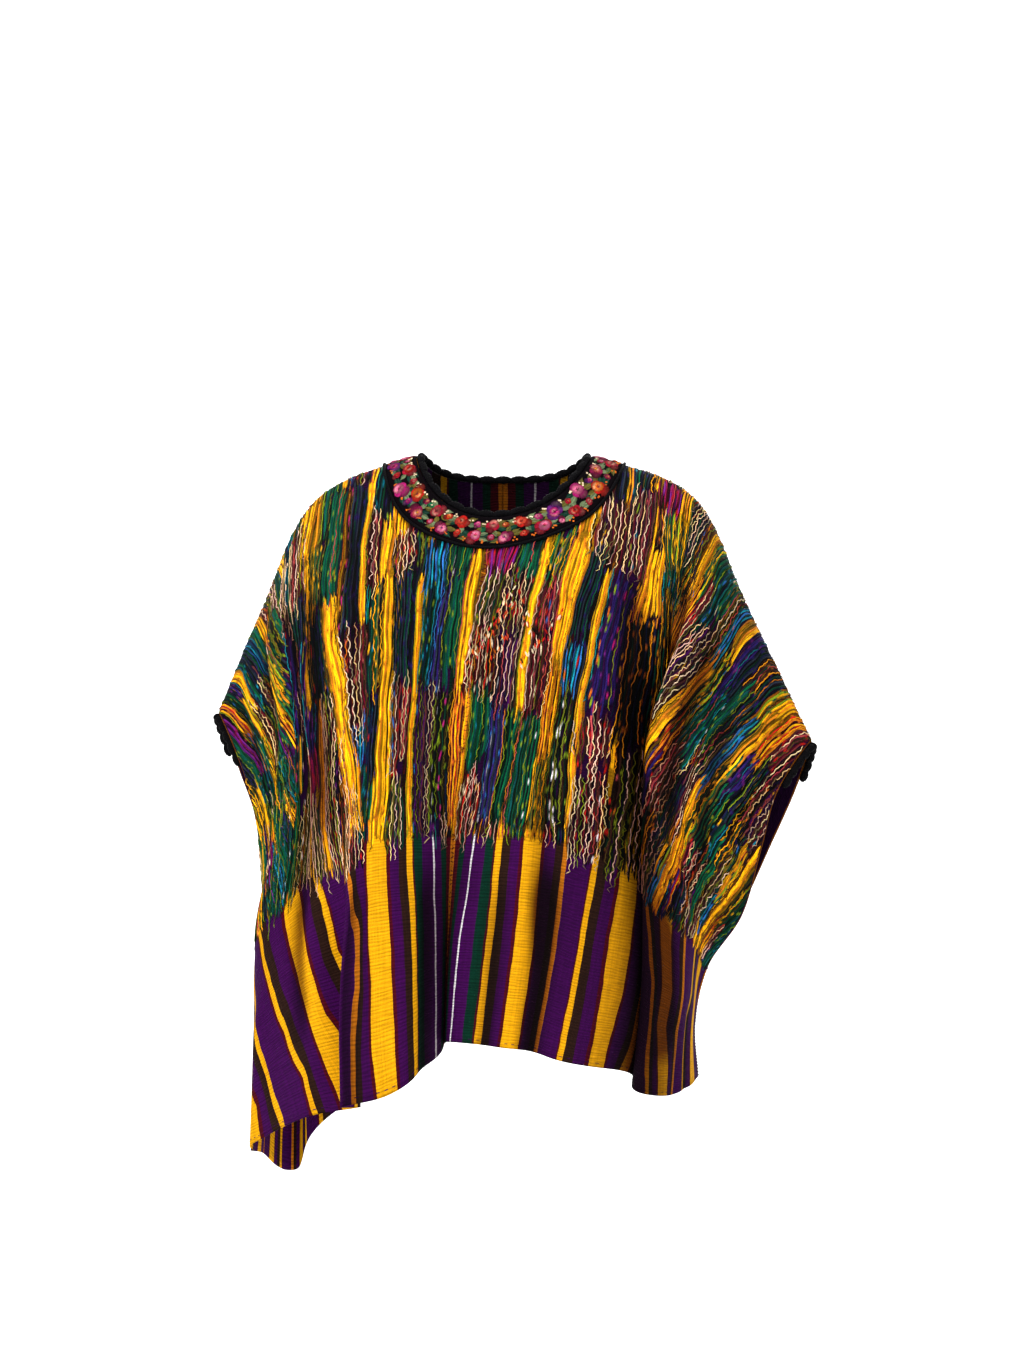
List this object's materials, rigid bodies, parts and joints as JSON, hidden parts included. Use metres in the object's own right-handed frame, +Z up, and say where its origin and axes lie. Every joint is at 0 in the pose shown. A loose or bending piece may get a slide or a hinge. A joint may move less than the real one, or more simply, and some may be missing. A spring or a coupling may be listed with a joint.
{
  "type": "huipil blouse",
  "caption": "Loose handwoven huipil blouse in its worn form, striped cotton with a flower band round the neck and black scalloped edgings.",
  "frame": {"origin": "middle of the neck opening, level with the tops of the shoulders, where the wearer holds it up", "axes": "+Z up, +X to the wearer's left, +Y to the wearer's back"},
  "size_m": [0.6043, 0.2996, 0.7312],
  "materials": {
    "woven_cotton": "matt handwoven cotton, striped violet and gold, with brocade",
    "flower_band": "black cotton velvet embroidered with red, pink and violet roses",
    "black_edging": "matt black cotton edging"
  },
  "bodies": {
    "root": {"panel_right": "woven_cotton", "panel_left": "woven_cotton", "neck_band": "flower_band", "neck_scallops": "black_edging", "band_piping": "black_edging", "arm_trim_right": "black_edging", "arm_trim_left": "black_edging"}
  },
  "joints": []
}
